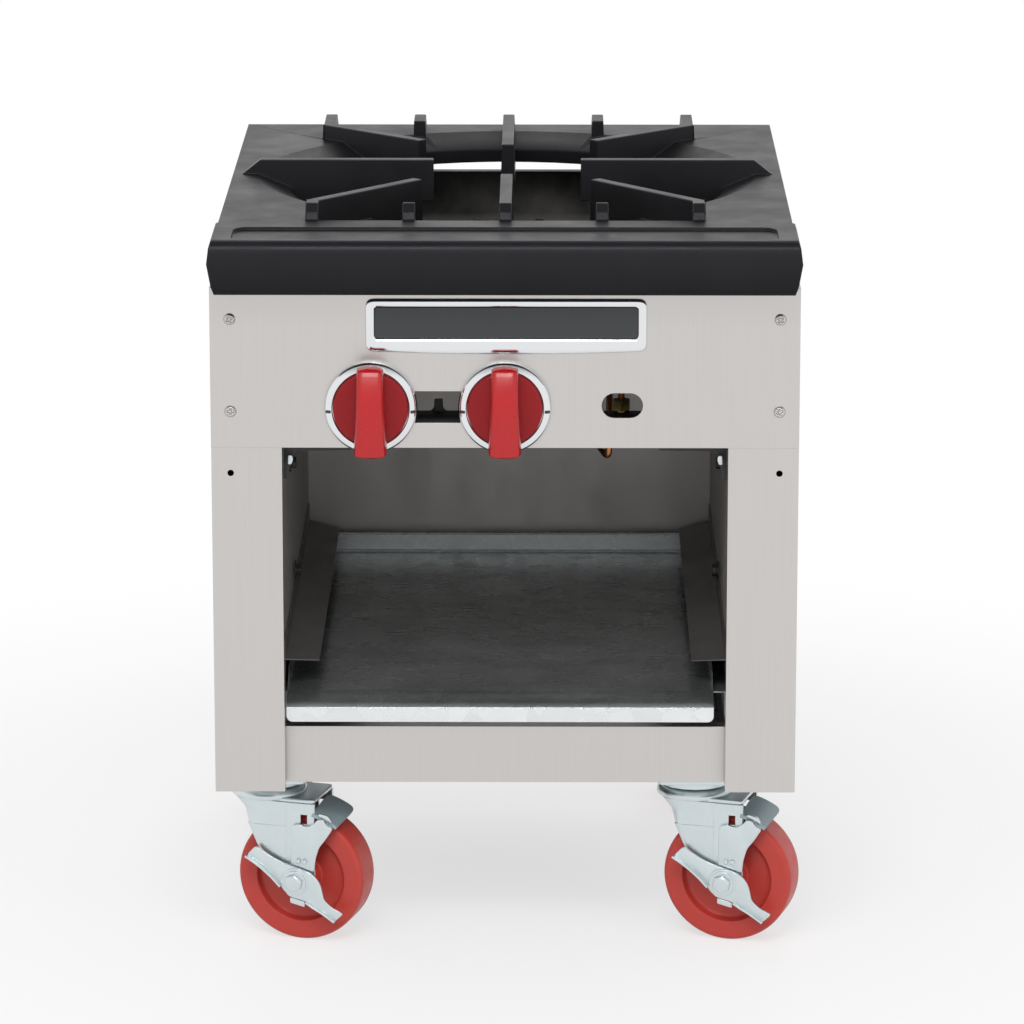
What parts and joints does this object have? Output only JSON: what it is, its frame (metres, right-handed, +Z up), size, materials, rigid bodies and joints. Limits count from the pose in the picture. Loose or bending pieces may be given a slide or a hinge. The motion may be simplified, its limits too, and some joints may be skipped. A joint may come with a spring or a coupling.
{
  "type": "stock pot range",
  "caption": "Floor-standing gas stock pot range with a cast-iron top grate over ring burners, turning knobs, a pull-out drip tray and swivel casters with brakes.",
  "frame": {"origin": "on the floor, under the middle of the bounding box", "axes": "+X to the cook's right, +Y towards the back, +Z up"},
  "size_m": [0.4641, 0.551, 0.6006],
  "materials": {
    "stainless_brushed": "brushed, vertical grain, satin",
    "interior_sheet": "dull mill finish",
    "galvanised_sheet": "galvanised, faint spangle",
    "chrome_trim": "polished",
    "badge_enamel": "satin dark enamel",
    "red_knob": "moulded, glossy",
    "zinc_plate": "bright zinc plate",
    "brass": "machined",
    "copper_tube": "drawn copper, dull",
    "cast_iron": "as cast, seasoned",
    "black_pipe": "black iron pipe",
    "red_wheel": "moulded polyurethane, satin"
  },
  "bodies": {
    "cabinet": {"side_panel_left": "stainless_brushed", "side_panel_right": "stainless_brushed", "front_rail": "stainless_brushed", "rear_rail": "stainless_brushed", "control_panel": "stainless_brushed", "liner_left": "interior_sheet", "liner_right": "interior_sheet", "back_panel": "interior_sheet", "drip_ledge_left": "interior_sheet", "drip_ledge_right": "interior_sheet", "base_rail_left": "galvanised_sheet", "base_rail_right": "galvanised_sheet", "tray_runner_left": "galvanised_sheet", "tray_runner_right": "galvanised_sheet", "burner_support_front": "galvanised_sheet", "burner_support_rear": "galvanised_sheet", "badge_frame": "chrome_trim", "bezel_left": "chrome_trim", "bezel_right": "chrome_trim", "badge_inset": "badge_enamel", "pilot_burner": "zinc_plate", "caster_plate_front_left": "zinc_plate", "caster_plate_rear_left": "zinc_plate", "caster_plate_front_right": "zinc_plate", "caster_plate_rear_right": "zinc_plate", "valve_left": "brass", "valve_right": "brass", "pilot_valve": "brass", "pilot_tube": "copper_tube", "burner_outer": "cast_iron", "burner_inner": "cast_iron", "venturi_left": "cast_iron", "venturi_right": "cast_iron", "manifold_pipe": "black_pipe", "gas_inlet_pipe": "black_pipe"},
    "knob_left": {"knob_left": "red_knob", "valve_stem_left": "zinc_plate"},
    "shutter_left": {"air_shutter_left": "zinc_plate"},
    "lever_left": {"brake_lever_left": "zinc_plate"},
    "shoe_left": {"brake_shoe_left": "zinc_plate"},
    "knob_right": {"knob_right": "red_knob", "valve_stem_right": "zinc_plate"},
    "shutter_right": {"air_shutter_right": "zinc_plate"},
    "lever_right": {"brake_lever_right": "zinc_plate"},
    "shoe_right": {"brake_shoe_right": "zinc_plate"},
    "grate": {"top_grate": "cast_iron"},
    "tray": {"drip_tray": "galvanised_sheet"},
    "swivel_front_left": {"caster_fork_front_left": "zinc_plate", "caster_axle_front_left": "zinc_plate"},
    "wheel_front_left": {"caster_wheel_front_left": "red_wheel"},
    "swivel_rear_left": {"caster_fork_rear_left": "zinc_plate", "caster_axle_rear_left": "zinc_plate"},
    "wheel_rear_left": {"caster_wheel_rear_left": "red_wheel"},
    "swivel_front_right": {"caster_fork_front_right": "zinc_plate", "caster_axle_front_right": "zinc_plate"},
    "wheel_front_right": {"caster_wheel_front_right": "red_wheel"},
    "swivel_rear_right": {"caster_fork_rear_right": "zinc_plate", "caster_axle_rear_right": "zinc_plate"},
    "wheel_rear_right": {"caster_wheel_rear_right": "red_wheel"}
  },
  "joints": [
    {"name": "knob_left_turn", "type": "hinge", "parent": "cabinet", "child": "knob_left", "pos_m": [-0.104, -0.2395, 0.452], "axis": [0, 1, 0], "range_deg": [0, 90]},
    {"name": "knob_right_turn", "type": "hinge", "parent": "cabinet", "child": "knob_right", "pos_m": [0, -0.2395, 0.452], "axis": [0, 1, 0], "range_deg": [0, 90]},
    {"name": "grate_lift", "type": "slide", "parent": "cabinet", "child": "grate", "axis": [0, 0, 1], "range_m": [0, 0.15]},
    {"name": "tray_slide", "type": "slide", "parent": "cabinet", "child": "tray", "axis": [0, -1, 0], "range_m": [0, 0.36]},
    {"name": "shutter_left_turn", "type": "hinge", "parent": "cabinet", "child": "shutter_left", "pos_m": [-0.104, -0.15085, 0.462], "axis": [0, 1, 0], "range_deg": [0, 90]},
    {"name": "shutter_right_turn", "type": "hinge", "parent": "cabinet", "child": "shutter_right", "pos_m": [0, -0.15085, 0.462], "axis": [0, 1, 0], "range_deg": [0, 90]},
    {"name": "swivel_front_left_turn", "type": "hinge", "parent": "cabinet", "child": "swivel_front_left", "pos_m": [-0.19, -0.1595, 0.124], "axis": [0, 0, 1], "continuous": true},
    {"name": "wheel_front_left_spin", "type": "hinge", "parent": "swivel_front_left", "child": "wheel_front_left", "pos_m": [-0.1602, -0.16804, 0.0525], "axis": [0.2756, 0.9613, 0], "continuous": true},
    {"name": "lever_left_press", "type": "hinge", "parent": "swivel_front_left", "child": "lever_left", "pos_m": [-0.1602, -0.16804, 0.0525], "axis": [-0.2756, -0.9613, 0], "range_deg": [0, 20]},
    {"name": "shoe_left_close", "type": "slide", "parent": "swivel_front_left", "child": "shoe_left", "axis": [-0.5235, 0.1501, -0.8387], "range_m": [0, 0.0022]},
    {"name": "swivel_rear_left_turn", "type": "hinge", "parent": "cabinet", "child": "swivel_rear_left", "pos_m": [-0.19, 0.1905, 0.124], "axis": [0, 0, 1], "continuous": true},
    {"name": "wheel_rear_left_spin", "type": "hinge", "parent": "swivel_rear_left", "child": "wheel_rear_left", "pos_m": [-0.19, 0.2215, 0.0525], "axis": [-1, 0, 0], "continuous": true},
    {"name": "swivel_front_right_turn", "type": "hinge", "parent": "cabinet", "child": "swivel_front_right", "pos_m": [0.152, -0.1595, 0.124], "axis": [0, 0, 1], "continuous": true},
    {"name": "wheel_front_right_spin", "type": "hinge", "parent": "swivel_front_right", "child": "wheel_front_right", "pos_m": [0.1818, -0.16804, 0.0525], "axis": [0.2756, 0.9613, 0], "continuous": true},
    {"name": "lever_right_press", "type": "hinge", "parent": "swivel_front_right", "child": "lever_right", "pos_m": [0.1818, -0.16804, 0.0525], "axis": [-0.2756, -0.9613, 0], "range_deg": [0, 20]},
    {"name": "shoe_right_close", "type": "slide", "parent": "swivel_front_right", "child": "shoe_right", "axis": [-0.5235, 0.1501, -0.8387], "range_m": [0, 0.0022]},
    {"name": "swivel_rear_right_turn", "type": "hinge", "parent": "cabinet", "child": "swivel_rear_right", "pos_m": [0.152, 0.1905, 0.124], "axis": [0, 0, 1], "continuous": true},
    {"name": "wheel_rear_right_spin", "type": "hinge", "parent": "swivel_rear_right", "child": "wheel_rear_right", "pos_m": [0.152, 0.2215, 0.0525], "axis": [-1, 0, 0], "continuous": true}
  ],
  "couplings": [
    {"joint": "shoe_left_close", "follows": "lever_left_press", "m_per_rad": 0.0063},
    {"joint": "shoe_right_close", "follows": "lever_right_press", "m_per_rad": 0.0063}
  ]
}
